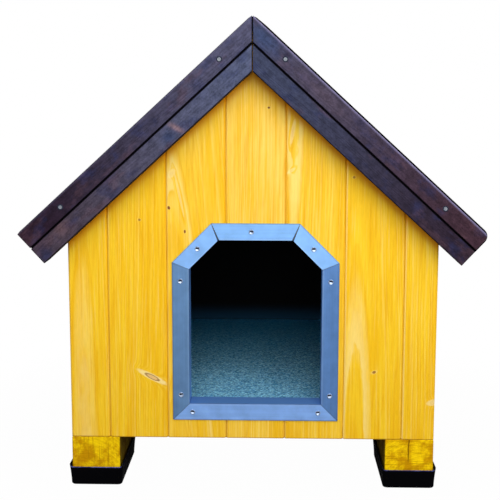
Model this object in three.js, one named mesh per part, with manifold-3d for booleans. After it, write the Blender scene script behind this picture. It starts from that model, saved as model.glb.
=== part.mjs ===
// An insulated wooden dog house with a pitched lift-off roof.
//
// Tongue-and-groove boards with V joints clad all four walls outside insulated inner panels. The doorway
// in the front wall is edged with six mitred lengths of aluminium angle. The roof is one unit: two boarded
// slopes under a single sheet of felt, hung at each gable from a rebated rafter with a lath screwed over
// the ends of the deck. Four timber feet lie under the corners, each in a flared plastic shoe.
//
// Millimetres, +Z up, front towards -Y. The origin is on the ground, under the middle of the house.

import * as THREE from 'three';
import { mergeVertices } from 'three/addons/utils/BufferGeometryUtils.js';
import Module from 'manifold-3d';

// ---- Driving dimensions -------------------------------------------------------------------------------

const wallWidth = 703; // across the front, over the cladding
const wallDepth = 800; // front face to back face
const wallBottom = 97.5; // height of the cladding's lower edge above the ground
const wallThickness = 45; // cladding and inner panel together

const boardCover = 113; // width that one board covers, joint to joint
const boardThickness = 18;
const vJoint = 3; // each board's share of the V, both across and deep
const tongueLength = 7;
const tongueThickness = 6;
const tongueDepth = 9; // outer face to the middle of the tongue
const jointSlack = 0.3; // room beside a tongue, and between two neighbouring boards
const endStrip = 75; // first board of a gable wall, ripped to this width
const narrowestBoard = 25; // a last strip thinner than this is left on the board before it

const floorThickness = 58; // insulated floor panel
const carpetThickness = 5;

const doorFrameWidth = 318; // over the outer edges of the angles
const doorFrameTop = 518;
const doorFrameBottom = 134;
const doorChamfer = 75; // leg of the cut-off upper corners
const angleFace = 32; // flange on the face of the wall
const angleDepth = 45; // flange through the wall
const angleThickness = 2;
const angleMitreGap = 0.5;

const roofPitch = THREE.MathUtils.degToRad(42.5);
const apexHeight = 900.5; // top edge of the laths where they meet
const slopeLength = 591; // apex to the square-cut eave, along the slope
const roofOverhang = 45; // front of a lath to the face of the wall
const lathWidth = 35;
const lathThickness = 18;
const shadowGap = 2.5; // open line between the lath and the rafter below it
const rafterFace = 36; // part of the rafter that shows under the shadow gap
const roofMitreGap = 2.4; // open mitre at the apex
const edgeChamfer = 1.2; // eased edges of laths and rafters
const deckThickness = 18;
const feltThickness = 3;
const feltRise = 2; // felt stands this much above the laths
const ridgeRadius = 12; // bend of the felt over the ridge
const eaveRadius = { left: 4.5, right: 14 }; // bend of the felt over each eave
const lathEndRadius = { left: 1.5, right: 11 }; // outer corner of the front lath at each eave

const footWidth = 94;
const footLength = 170;
const footChamfer = 1.5;
const shoeFloor = 3;
const shoeWall = 2.5;
const shoeFlare = 3; // how far the rim leans out beyond the base of the wall
const shoeHeight = 37.5; // rim over the foot's ends
const shoeSideHeight = 42.5; // rim over the foot's long sides
const shoeCornerRadius = 7;
const shoeSole = 4; // radius-like easing round the sole

const clearance = 0.3; // between pieces that touch

// ---- Colours and finishes -----------------------------------------------------------------------------

const finish = (color, roughness, metalness = 0) =>
  new THREE.MeshStandardMaterial({ color, roughness, metalness });

const yellowBoard = finish(0xf2bf2f, 0.55);
const walnutStain = finish(0x3a3340, 0.5);
const rawSpruce = finish(0xc9a878, 0.7);
const filmPly = finish(0x2c221e, 0.6); // dark film-faced plywood
const sawnFoot = finish(0xd9a428, 0.75);
const brightAluminium = finish(0x9db4d6, 0.35, 1);
const blackFelt = finish(0x18181a, 0.95);
const tealCarpet = finish(0x4a6a6a, 0.95);
const blackShoe = finish(0x0d0b0d, 0.5);

// ---- Booleans -----------------------------------------------------------------------------------------

const wasm = await Module();
wasm.setup();

/** A closed BufferGeometry as a solid that can be cut and joined. */
function toSolid(geometry) {
  const bare = geometry.clone();
  bare.deleteAttribute('normal');
  bare.deleteAttribute('uv');
  const welded = mergeVertices(bare, 1e-4);
  return new wasm.Manifold(new wasm.Mesh({
    numProp: 3,
    vertProperties: new Float32Array(welded.attributes.position.array),
    triVerts: new Uint32Array(welded.index.array),
  }));
}

/** A solid back as a BufferGeometry. */
function toGeometry(solid) {
  const { vertProperties, triVerts } = solid.getMesh();
  const geometry = new THREE.BufferGeometry();
  geometry.setAttribute('position', new THREE.BufferAttribute(new Float32Array(vertProperties), 3));
  geometry.setIndex(new THREE.BufferAttribute(new Uint32Array(triVerts), 1));
  geometry.computeVertexNormals();
  return geometry;
}

/** What is left of a geometry after cutting the others out, as one geometry for each separate piece. */
function cutPieces(geometry, ...cutters) {
  let solid = toSolid(geometry);
  for (const cutter of cutters) solid = solid.subtract(toSolid(cutter));
  return solid.decompose().map(toGeometry);
}

// ---- Shapes -------------------------------------------------------------------------------------------

/** A shape drawn in X and Z, extruded along Y from y0 to y1, with its end edges eased by a chamfer. */
function extrudeAlongY(shape, y0, y1, chamfer = 0) {
  const geometry = new THREE.ExtrudeGeometry(shape, {
    depth: y1 - y0 - 2 * chamfer,
    bevelEnabled: chamfer > 0,
    bevelThickness: chamfer,
    bevelSize: chamfer,
    bevelOffset: -chamfer,
    bevelSegments: 1,
    curveSegments: 6,
  });
  return geometry.rotateX(Math.PI / 2).translate(0, y1 - chamfer, 0);
}

const outline = (points) => new THREE.Shape(points.map(([x, y]) => new THREE.Vector2(x, y)));

/**
 * A straight bar whose profile is carried from one cut end to the other. at(point, end) places a point
 * of the profile at the start (0) or the end (1) of the bar, so each end can be mitred.
 */
function cutBar(profile, at) {
  const count = profile.length;
  const corners = [0, 1].flatMap((end) => profile.map((point) => at(point, end)));
  const index = [];
  for (let i = 0; i < count; i += 1) {
    const next = (i + 1) % count;
    index.push(i, next, count + next, i, count + next, count + i);
  }
  const contour = profile.map(([x, y]) => new THREE.Vector2(x, y));
  for (const [a, b, c] of THREE.ShapeUtils.triangulateShape(contour, [])) {
    index.push(c, b, a, count + a, count + b, count + c);
  }
  const geometry = new THREE.BufferGeometry();
  geometry.setAttribute('position', new THREE.Float32BufferAttribute(corners.flat(), 3));
  geometry.setIndex(facingOut(corners, index));
  geometry.computeVertexNormals();
  return geometry;
}

/** The triangles as they are if they enclose a positive volume, and turned round if not. */
function facingOut(corners, index) {
  let volume = 0;
  const [a, b, c] = [new THREE.Vector3(), new THREE.Vector3(), new THREE.Vector3()];
  for (let i = 0; i < index.length; i += 3) {
    a.fromArray(corners[index[i]]);
    b.fromArray(corners[index[i + 1]]);
    c.fromArray(corners[index[i + 2]]);
    volume += a.dot(b.cross(c));
  }
  return volume > 0 ? index : index.slice().reverse();
}

function place(parent, name, geometry, material) {
  const mesh = new THREE.Mesh(geometry, material);
  mesh.name = name;
  parent.add(mesh);
  return mesh;
}

// ---- Board joints and doorway outline -----------------------------------------------------------------

/** Joints between the boards of a wall that runs from -width/2 to width/2, with the wall's two ends. */
function boardJoints(width, firstWidth) {
  const joints = [-width / 2];
  for (let x = -width / 2 + firstWidth; x < width / 2 - narrowestBoard; x += boardCover) joints.push(x);
  joints.push(width / 2);
  return joints;
}

// The doorway is centred on the board that crosses the middle of the front.
const frontJoints = boardJoints(wallWidth, endStrip);
const middleBoard = frontJoints.findIndex((x) => x > 0);
const doorCentre = (frontJoints[middleBoard - 1] + frontJoints[middleBoard]) / 2;

// Outer corners of the angles, anticlockwise from the lower left as seen from the front, in X and Z.
const doorCorners = [
  [doorCentre - doorFrameWidth / 2, doorFrameBottom],
  [doorCentre + doorFrameWidth / 2, doorFrameBottom],
  [doorCentre + doorFrameWidth / 2, doorFrameTop - doorChamfer],
  [doorCentre + doorFrameWidth / 2 - doorChamfer, doorFrameTop],
  [doorCentre - doorFrameWidth / 2 + doorChamfer, doorFrameTop],
  [doorCentre - doorFrameWidth / 2, doorFrameTop - doorChamfer],
].map(([x, z]) => new THREE.Vector2(x, z));

/** Direction of the doorway's edge from corner i to the next one. */
function doorEdge(i) {
  const count = doorCorners.length;
  return doorCorners[(i + 1) % count].clone().sub(doorCorners[(i + count) % count]).normalize();
}

/** Step from corner i that moves both of its edges inwards by 1 mm: the direction of the mitre there. */
function mitreStep(i) {
  const count = doorCorners.length;
  const before = doorEdge((i + count - 1) % count);
  const after = doorEdge(i % count);
  const inward = (edge) => new THREE.Vector2(-edge.y, edge.x);
  const sum = inward(before).add(inward(after));
  return sum.divideScalar(1 + inward(before).dot(inward(after)));
}

/** The doorway's outline, moved in from the outer edge of the angles by a distance. */
function doorOutline(inset) {
  return new THREE.Shape(doorCorners.map((corner, i) => corner.clone().addScaledVector(mitreStep(i), inset)));
}

// ---- Roof planes --------------------------------------------------------------------------------------
// A slope's own frame has X down the slope from the apex, Y along the ridge and Z out of the roof, with
// Z = 0 at the top edge of the laths.

const [sinPitch, cosPitch] = [Math.sin(roofPitch), Math.cos(roofPitch)];
const feltTop = feltRise;
const feltBottom = feltTop - feltThickness;
const deckTop = feltBottom - clearance;
const deckBottom = deckTop - deckThickness;
const ledge = -lathWidth - shadowGap; // top of the part of the rafter that shows
const rafterBottom = ledge - rafterFace;
const flapEnd = ledge; // the felt's flap hangs over the full height of the laths
const rafterTop = deckBottom - clearance;
const gableFace = wallDepth / 2 + roofOverhang; // outer face of laths and rafters
const lathBack = gableFace - lathThickness;
const deckEnd = lathBack - clearance;

/** Distance down the slope of the mitre at the apex, at a height above the lath line. */
const mitreAt = (height, gap) => (gap / 2 - height * sinPitch) / cosPitch;

/** Height above the ground of a slope's plane, at a distance from the middle of the house. */
const slopeHeight = (x, height) => apexHeight + (height - Math.abs(x) * sinPitch) / cosPitch;

/** Everything above the underside of the deck, as a solid to cut the walls' tops with. */
function roofSpace() {
  const reach = wallWidth;
  const under = rafterTop;
  const top = apexHeight + wallWidth;
  const shape = outline([
    [0, slopeHeight(0, under)], [reach, slopeHeight(reach, under)], [reach, top],
    [-reach, top], [-reach, slopeHeight(reach, under)],
  ]);
  return extrudeAlongY(shape, -wallDepth, wallDepth);
}

// ---- Walls --------------------------------------------------------------------------------------------

/**
 * Section of one board in X (across) and Y (inwards from the outer face). A tongue stands out of its
 * right edge and a groove is cut into its left edge, and the faces are bevelled to a V at both joints.
 */
function boardSection(left, right, hasGroove, hasTongue) {
  const x0 = hasGroove ? left + jointSlack / 2 : left;
  const x1 = hasTongue ? right - jointSlack / 2 : right;
  const half = tongueThickness / 2;
  const back = boardThickness;
  const points = [[x0, back], [x0, vJoint], [x0 + vJoint, 0], [x1 - vJoint, 0], [x1, vJoint]];
  if (hasTongue) {
    const tip = x1 + tongueLength;
    points.push([x1, tongueDepth - half], [tip, tongueDepth - half + 0.5]);
    points.push([tip, tongueDepth + half - 0.5], [x1, tongueDepth + half]);
  }
  points.push([x1, back]);
  if (hasGroove) {
    const bottom = x0 + tongueLength + jointSlack;
    const reach = half + jointSlack;
    points.push([x0, back], [x0, tongueDepth + reach], [bottom, tongueDepth + reach]);
    points.push([bottom, tongueDepth - reach], [x0, tongueDepth - reach]);
    points.shift();
  }
  return outline(points);
}

/** A length of board or panel from the lower edge of the walls to well above the roof. */
function upright(section, foot = wallBottom) {
  const height = apexHeight - foot;
  return new THREE.ExtrudeGeometry(section, { depth: height, bevelEnabled: false }).translate(0, 0, foot);
}

/**
 * One wall in its own frame: X to the right as seen from outside, Y inwards from the face of the
 * cladding, Z up. The boards and the panel behind them are cut to the roof and, in front, to the doorway.
 */
function buildWall({ name, width, firstWidth, panelWidth, distance, turn, doorway }) {
  const wall = new THREE.Group();
  wall.rotation.z = turn;
  wall.position.set(Math.sin(turn) * distance, -Math.cos(turn) * distance, 0);
  wall.updateMatrixWorld();
  const cutters = [roofSpace().applyMatrix4(wall.matrixWorld.clone().invert())];
  if (doorway) cutters.push(doorway);

  const joints = boardJoints(width, firstWidth);
  for (let i = 1; i < joints.length; i += 1) {
    const section = boardSection(joints[i - 1], joints[i], i > 1, i < joints.length - 1);
    const pieces = cutPieces(upright(section), ...cutters);
    const lengths = pieces.length > 1 ? byHeight(pieces) : pieces;
    lengths.forEach((piece, k) => {
      const suffix = lengths.length > 1 ? `_${['lower', 'upper', 'top'][k]}` : '';
      place(wall, `${name}_board_${i}${suffix}`, piece, yellowBoard);
    });
  }

  const panelFace = boardThickness + clearance;
  const panel = outline([
    [-panelWidth / 2, panelFace], [panelWidth / 2, panelFace],
    [panelWidth / 2, wallThickness], [-panelWidth / 2, wallThickness],
  ]);
  const [panelPiece] = cutPieces(upright(panel), ...cutters);
  place(wall, `${name}_inner_panel`, panelPiece, filmPly);
  return wall;
}

/** Pieces of one board, from the lowest up. */
function byHeight(pieces) {
  for (const piece of pieces) piece.computeBoundingBox();
  return pieces.sort((a, b) => a.boundingBox.min.z - b.boundingBox.min.z);
}

function buildWalls() {
  const doorway = extrudeAlongY(
    doorOutline(angleFace - angleThickness - clearance), -wallThickness, 2 * wallThickness);
  const sideRun = wallDepth - 2 * (boardThickness + clearance);
  const gable = {
    width: wallWidth,
    firstWidth: endStrip,
    panelWidth: wallWidth - 2 * (boardThickness + clearance),
    distance: wallDepth / 2,
  };
  const side = {
    width: sideRun,
    firstWidth: boardCover,
    panelWidth: wallDepth - 2 * (wallThickness + clearance),
    distance: wallWidth / 2,
  };
  return [
    buildWall({ ...gable, name: 'front', turn: 0, doorway }),
    buildWall({ ...gable, name: 'back', turn: Math.PI }),
    buildWall({ ...side, name: 'left', turn: -Math.PI / 2 }),
    buildWall({ ...side, name: 'right', turn: Math.PI / 2 }),
  ];
}

// ---- Doorway frame ------------------------------------------------------------------------------------

/** Six lengths of aluminium angle, mitred where they meet, in the front wall's frame. */
function buildDoorFrame() {
  const frame = new THREE.Group();
  frame.position.y = -wallDepth / 2 - angleThickness - clearance;
  const profile = [
    [0, 0], [angleFace, 0], [angleFace, angleDepth], [angleFace - angleThickness, angleDepth],
    [angleFace - angleThickness, angleThickness], [0, angleThickness],
  ];
  const names = ['sill', 'right', 'upper_right', 'head', 'upper_left', 'left'];
  names.forEach((name, i) => {
    const along = doorEdge(i);
    const ends = [i, (i + 1) % doorCorners.length];
    const bar = cutBar(profile, ([inset, depth], end) => {
      const point = doorCorners[ends[end]].clone().addScaledVector(mitreStep(ends[end]), inset);
      point.addScaledVector(along, end ? -angleMitreGap / 2 : angleMitreGap / 2);
      return [point.x, depth, point.y];
    });
    place(frame, `door_angle_${name}`, bar, brightAluminium);
  });
  return frame;
}

// ---- Floor and feet -----------------------------------------------------------------------------------

/** A box with its lower face at a height. */
const slab = (width, length, thickness, bottom) =>
  new THREE.BoxGeometry(width, length, thickness).translate(0, 0, bottom + thickness / 2);

function buildFloor() {
  const floor = new THREE.Group();
  const width = wallWidth - 2 * (wallThickness + clearance);
  const length = wallDepth - 2 * (wallThickness + clearance);
  place(floor, 'floor_panel', slab(width, length, floorThickness, wallBottom), rawSpruce);
  const carpetBottom = wallBottom + floorThickness + clearance;
  const carpet = slab(width - 2 * clearance, length - 2 * clearance, carpetThickness, carpetBottom);
  place(floor, 'carpet', carpet, tealCarpet);
  return floor;
}

/** A length of squared timber with eased long edges, lying along Y. */
function footBlock() {
  const [w, h] = [footWidth / 2, wallBottom - clearance - shoeFloor - clearance];
  const c = footChamfer;
  const section = outline([
    [-w + c, 0], [w - c, 0], [w, c], [w, h - c], [w - c, h], [-w + c, h], [-w, h - c], [-w, c],
  ]);
  return extrudeAlongY(section, -footLength / 2, footLength / 2, c);
}

/**
 * The shoe as rings of one rounded rectangle: round the sole, up the outside to the rim, over it, and
 * down the inside to the floor. The rim climbs from the foot's ends to its long sides.
 */
function shoeShell() {
  const [halfWidth, halfLength] = [footWidth / 2 + clearance, footLength / 2 + clearance];
  const arcSteps = 5;
  const ring = (grow, height, radius) => {
    const points = [];
    for (let corner = 0; corner < 4; corner += 1) {
      const [sx, sy] = [[1, 1], [-1, 1], [-1, -1], [1, -1]][corner];
      for (let k = 0; k <= arcSteps; k += 1) {
        const angle = (corner + k / arcSteps) * (Math.PI / 2);
        const side = Math.abs(Math.cos(angle)) ** 2; // 1 on a long side, 0 on an end
        points.push([
          sx * (halfWidth + grow - radius) + radius * Math.cos(angle),
          sy * (halfLength + grow - radius) + radius * Math.sin(angle),
          height(side),
        ]);
      }
    }
    return points;
  };
  const rim = (side) => shoeHeight + (shoeSideHeight - shoeHeight) * side;
  const level = (z) => () => z;
  const rings = [
    ring(shoeWall - shoeSole / 2, level(0), shoeCornerRadius),
    ring(shoeWall, level(shoeSole), shoeCornerRadius),
    ring(shoeWall + shoeFlare, rim, shoeCornerRadius),
    ring(shoeFlare, rim, shoeCornerRadius - shoeWall),
    ring(0, level(shoeHeight / 2), footChamfer),
    ring(0, level(shoeFloor), footChamfer),
  ];
  const count = rings[0].length;
  const corners = [...rings.flat(), [0, 0, 0], [0, 0, shoeFloor]];
  const index = [];
  for (let r = 0; r + 1 < rings.length; r += 1) {
    for (let i = 0; i < count; i += 1) {
      const [a, b] = [r * count + i, r * count + ((i + 1) % count)];
      index.push(a, b, b + count, a, b + count, a + count);
    }
  }
  const lastRing = (rings.length - 1) * count;
  for (let i = 0; i < count; i += 1) {
    const next = (i + 1) % count;
    index.push(rings.length * count, next, i);
    index.push(rings.length * count + 1, lastRing + i, lastRing + next);
  }
  const geometry = new THREE.BufferGeometry();
  geometry.setAttribute('position', new THREE.Float32BufferAttribute(corners.flat(), 3));
  geometry.setIndex(facingOut(corners, index));
  geometry.computeVertexNormals();
  return geometry;
}

function buildFeet() {
  const feet = new THREE.Group();
  const x = (wallWidth - footWidth) / 2;
  const y = (wallDepth - footLength) / 2;
  const places = { front_left: [-x, -y], front_right: [x, -y], back_left: [-x, y], back_right: [x, y] };
  for (const [name, [footX, footY]] of Object.entries(places)) {
    const foot = new THREE.Group();
    foot.position.set(footX, footY, 0);
    place(foot, `${name}_foot`, footBlock(), sawnFoot).position.z = shoeFloor + clearance;
    place(foot, `${name}_shoe`, shoeShell(), blackShoe);
    feet.add(foot);
  }
  return feet;
}

// ---- Roof ---------------------------------------------------------------------------------------------

// Centre of the ridge bend, seen from a slope: all the layers bend round it.
const bendDrop = (ridgeRadius - feltTop) / cosPitch;
const bendCentre = { x: bendDrop * sinPitch, z: feltTop - ridgeRadius };

/** Boards of one slope, laid along the ridge and joined to one sheet, with V joints underneath. */
function deckShape(side) {
  const bend = ridgeRadius - feltThickness - clearance;
  const endBend = eaveRadius[side] - feltThickness - clearance;
  const shape = new THREE.Shape();
  shape.moveTo(slopeLength, deckBottom);
  shape.lineTo(slopeLength, deckTop - endBend);
  shape.absarc(slopeLength - endBend, deckTop - endBend, endBend, 0, Math.PI / 2, false);
  const ridgeAngle = Math.PI / 2 + roofPitch - clearance / 2 / bend;
  shape.absarc(bendCentre.x, bendCentre.z, bend, Math.PI / 2, ridgeAngle, false);
  shape.lineTo(mitreAt(deckBottom, clearance), deckBottom);
  const first = mitreAt(deckBottom, clearance);
  for (let s = slopeLength - boardCover * Math.floor((slopeLength - first - vJoint) / boardCover);
    s < slopeLength - vJoint; s += boardCover) {
    shape.lineTo(s - vJoint, deckBottom);
    shape.lineTo(s, deckBottom + vJoint);
    shape.lineTo(s + vJoint, deckBottom);
  }
  return shape;
}

/** The felt's edge on one slope, from the ridge bend to the lower end of its turned-down flap. */
function feltEdge(side, height) {
  const outer = feltTop - height; // 0 on the outer face, the thickness on the inner face
  const bend = ridgeRadius - outer;
  const end = slopeLength + clearance + feltThickness - outer;
  const endBend = eaveRadius[side] - outer;
  const path = new THREE.Path();
  path.absarc(bendCentre.x, bendCentre.z, bend, Math.PI / 2 + roofPitch, Math.PI / 2, true);
  path.absarc(end - endBend, height - endBend, endBend, Math.PI / 2, 0, true);
  path.lineTo(end, flapEnd);
  const toHouse = side === 'right' ? 1 : -1;
  return path.getPoints(6).map((p) => new THREE.Vector2(
    toHouse * (p.x * cosPitch + p.y * sinPitch), apexHeight - p.x * sinPitch + p.y * cosPitch));
}

/** One sheet of felt over the ridge, turned down over the deck's ends at both eaves. */
function feltSheet() {
  const over = [...feltEdge('left', feltTop).reverse(), ...feltEdge('right', feltTop).slice(1)];
  const under = [...feltEdge('left', feltBottom).reverse(), ...feltEdge('right', feltBottom).slice(1)];
  const shape = new THREE.Shape([...over, ...under.reverse()]);
  return extrudeAlongY(shape, -deckEnd, deckEnd);
}

/** The lath over the deck's end, mitred at the apex and cut square at the eave. */
function lathShape(endRadius) {
  const shape = new THREE.Shape();
  shape.moveTo(mitreAt(-lathWidth, roofMitreGap), -lathWidth);
  shape.lineTo(slopeLength, -lathWidth);
  shape.lineTo(slopeLength, -endRadius);
  shape.absarc(slopeLength - endRadius, -endRadius, endRadius, 0, Math.PI / 2, false);
  shape.lineTo(mitreAt(0, roofMitreGap), 0);
  return shape;
}

/** The rafter under the deck, with a rebate for the lath. facing is -1 or 1: the gable's side along Y. */
function rafterBar(facing) {
  const inner = wallDepth / 2 + clearance;
  const c = edgeChamfer;
  const profile = [
    [inner, rafterBottom], [gableFace - c, rafterBottom], [gableFace, rafterBottom + c],
    [gableFace, ledge - c], [gableFace - c, ledge], [deckEnd, ledge], [deckEnd, rafterTop],
    [inner, rafterTop],
  ];
  return cutBar(profile, ([y, height], end) =>
    [end ? slopeLength : mitreAt(height, roofMitreGap), facing * y, height]);
}

function buildRoof() {
  const roof = new THREE.Group();
  place(roof, 'roof_felt', feltSheet(), blackFelt);
  for (const side of ['left', 'right']) {
    const half = new THREE.Group();
    half.rotation.z = side === 'right' ? 0 : Math.PI;
    const slope = new THREE.Group();
    slope.position.z = apexHeight;
    slope.rotation.y = roofPitch;
    half.add(slope);
    roof.add(half);
    place(slope, `${side}_deck`, extrudeAlongY(deckShape(side), -deckEnd, deckEnd), rawSpruce);
    for (const gable of ['front', 'back']) {
      const facing = (gable === 'front') === (side === 'right') ? -1 : 1;
      const radius = gable === 'front' ? lathEndRadius[side] : lathEndRadius.left;
      const [y0, y1] = facing < 0 ? [-gableFace, -lathBack] : [lathBack, gableFace];
      const lath = extrudeAlongY(lathShape(radius), y0, y1, edgeChamfer);
      place(slope, `${gable}_${side}_lath`, lath, walnutStain);
      place(slope, `${gable}_${side}_rafter`, rafterBar(facing), walnutStain);
    }
  }
  return roof;
}

// ---- Assembly -----------------------------------------------------------------------------------------

const dogHouse = new THREE.Group();
dogHouse.add(...buildWalls(), buildDoorFrame(), buildFloor(), buildFeet(), buildRoof());

export default dogHouse;
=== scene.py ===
"""A wooden dog house with a lift-off felt roof: its finishes, carpet, felt, shoes and screws.

Metres, +Z up, front towards -Y. The origin is on the ground, under the middle of the house.
"""

import math

import bpy
import numpy as np
from mathutils import Matrix, Vector


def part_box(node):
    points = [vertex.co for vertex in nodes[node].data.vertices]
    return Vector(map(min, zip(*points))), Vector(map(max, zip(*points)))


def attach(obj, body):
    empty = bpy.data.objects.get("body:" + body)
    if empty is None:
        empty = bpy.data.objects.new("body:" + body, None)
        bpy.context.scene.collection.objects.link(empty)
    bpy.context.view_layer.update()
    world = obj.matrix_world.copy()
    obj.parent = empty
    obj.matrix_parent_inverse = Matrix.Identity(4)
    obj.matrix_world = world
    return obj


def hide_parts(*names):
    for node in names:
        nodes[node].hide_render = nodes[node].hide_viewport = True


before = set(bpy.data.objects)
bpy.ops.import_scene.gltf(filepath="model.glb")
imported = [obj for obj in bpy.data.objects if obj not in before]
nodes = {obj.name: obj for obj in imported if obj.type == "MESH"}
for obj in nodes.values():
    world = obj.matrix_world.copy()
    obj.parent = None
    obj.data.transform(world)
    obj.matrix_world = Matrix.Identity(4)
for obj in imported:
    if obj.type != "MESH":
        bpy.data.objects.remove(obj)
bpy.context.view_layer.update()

MM = 0.001

# ---- Sizes that follow the construction ----------------------------------------------------------------

PITCH = math.radians(42.5)
APEX = 900.5 * MM  # top edge of the laths where they meet
SLOPE = 591 * MM  # apex to eave, along the slope
LATH_WIDTH = 35 * MM
SHADOW_GAP = 2.5 * MM
RAFTER_BOTTOM = -LATH_WIDTH - SHADOW_GAP - 36 * MM  # out of the roof, from the top edge of the laths
BOARD_COVER = 113 * MM
TONGUE = 7 * MM
WALL_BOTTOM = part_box("front_board_1")[0].z
ANGLE_FACE = 32 * MM
DOOR_CHAMFER = 75 * MM  # leg of the doorway's cut corners
DECK_PAINTED_SHADE_FROM = 425.5 * MM  # out from the middle, from where the deck's end is painted dark all through: painted shade
FELT_THICKNESS = 3 * MM
FELT_RISE = 2 * MM  # felt stands this much above the laths
CLEARANCE = 0.3 * MM  # between pieces that touch
RIDGE_RADIUS = 12 * MM
EAVE_RADIUS = {"left": 4.5 * MM, "right": 14 * MM}
SHOE_END = 37.5 * MM  # height of a shoe's rim at its ends
GABLE_FACE = -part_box("front_left_lath")[0].y  # outer face of the laths
DOOR_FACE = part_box("door_angle_left")[0].y
DOOR_LEFT, DOOR_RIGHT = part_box("door_angle_left")[0].x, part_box("door_angle_right")[1].x
DOOR_TOP, DOOR_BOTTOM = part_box("door_angle_head")[1].z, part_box("door_angle_sill")[0].z
DOOR_CENTRE, DOOR_HALF = (DOOR_LEFT + DOOR_RIGHT) / 2, (DOOR_RIGHT - DOOR_LEFT) / 2


def srgb(red, green, blue):
    """A colour written as it looks on a screen, 0 to 255, as linear values."""
    def linear(level):
        share = level / 255
        return share / 12.92 if share <= 0.04045 else ((share + 0.055) / 1.055) ** 2.4
    return (linear(red), linear(green), linear(blue), 1.0)


# ---- Node graphs ---------------------------------------------------------------------------------------


class Graph:
    """Adds nodes to a node tree. Most methods return the new node's result."""

    def __init__(self, tree):
        self.tree = tree

    def node(self, kind, inputs=None, **settings):
        node = self.tree.nodes.new(kind)
        for name, value in settings.items():
            setattr(node, name, value)
        for name, value in (inputs or {}).items():
            self.feed(node.inputs[name], value)
        return node

    def feed(self, socket, value):
        if isinstance(value, bpy.types.NodeSocket):
            self.tree.links.new(value, socket)
        else:
            socket.default_value = value

    def math(self, operation, *values, clamp=False):
        inputs = dict(enumerate(values))
        return self.node("ShaderNodeMath", inputs, operation=operation, use_clamp=clamp).outputs[0]

    def add(self, *values):
        total = values[0]
        for value in values[1:]:
            total = self.math("ADD", total, value)
        return total

    def less(self, first, second):
        return self.math("SUBTRACT", first, second)

    def times(self, *values):
        product = values[0]
        for value in values[1:]:
            product = self.math("MULTIPLY", product, value)
        return product

    def absolute(self, value):
        return self.math("ABSOLUTE", value)

    def smooth(self, value, low, high):
        """0 at low, 1 at high, eased between them; low may be above high."""
        settings = {"Value": value, "From Min": low, "From Max": high}
        return self.node("ShaderNodeMapRange", settings, interpolation_type="SMOOTHSTEP").outputs[0]

    def spread(self, value, low, high):
        """A value from 0 to 1 carried to the range from low to high."""
        return self.node("ShaderNodeMapRange", {"Value": value, "To Min": low, "To Max": high}).outputs[0]

    def mix(self, share, first, second, blend="MIX"):
        inputs = {0: share, 6: first, 7: second}
        node = self.node("ShaderNodeMix", inputs, data_type="RGBA", blend_type=blend)
        return node.outputs[2]

    def cover(self, colour, tone, mask, strength):
        """The colour with a tone laid over it where the mask is 1, as strongly as given."""
        return self.mix(self.times(mask, strength), colour, tone)

    def shade(self, colour, factor):
        """The colour made lighter or darker by a factor."""
        return self.mix(1.0, colour, self.join(factor, factor, factor), blend="MULTIPLY")

    def split(self, vector):
        return self.node("ShaderNodeSeparateXYZ", {0: vector}).outputs

    def join(self, x, y, z):
        return self.node("ShaderNodeCombineXYZ", {0: x, 1: y, 2: z}).outputs[0]

    def vector(self, operation, first, second):
        return self.node("ShaderNodeVectorMath", {0: first, 1: second}, operation=operation).outputs[0]

    def dot(self, first, second):
        node = self.node("ShaderNodeVectorMath", {0: first, 1: second}, operation="DOT_PRODUCT")
        return node.outputs["Value"]

    def noise(self, vector, scale=(1, 1, 1), detail=2.0, roughness=0.5, output="Fac"):
        stretched = self.vector("MULTIPLY", vector, scale)
        inputs = {"Vector": stretched, "Scale": 1.0, "Detail": detail, "Roughness": roughness}
        return self.node("ShaderNodeTexNoise", inputs).outputs[output]

    def chance(self, value):
        """A number from 0 to 1 drawn anew for each value."""
        return self.node("ShaderNodeTexWhiteNoise", {"W": value}, noise_dimensions="1D").outputs["Value"]

    def group(self, tree, **inputs):
        node = self.node("ShaderNodeGroup")
        node.node_tree = tree
        for name, value in inputs.items():
            self.feed(node.inputs[name.replace("_", " ")], value)
        return node.outputs


SOCKETS = {float: "NodeSocketFloat", tuple: "NodeSocketVector"}


def node_group(name, inputs, outputs):
    """An empty node group with its inputs (name: default) and outputs (names): graph, inputs, outputs."""
    tree = bpy.data.node_groups.new(name, "ShaderNodeTree")
    for label, default in inputs.items():
        socket = tree.interface.new_socket(label, in_out="INPUT", socket_type=SOCKETS[type(default)])
        socket.default_value = default
    for label in outputs:
        tree.interface.new_socket(label, in_out="OUTPUT", socket_type="NodeSocketFloat")
    graph = Graph(tree)
    return graph, graph.node("NodeGroupInput").outputs, graph.node("NodeGroupOutput").inputs


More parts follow.
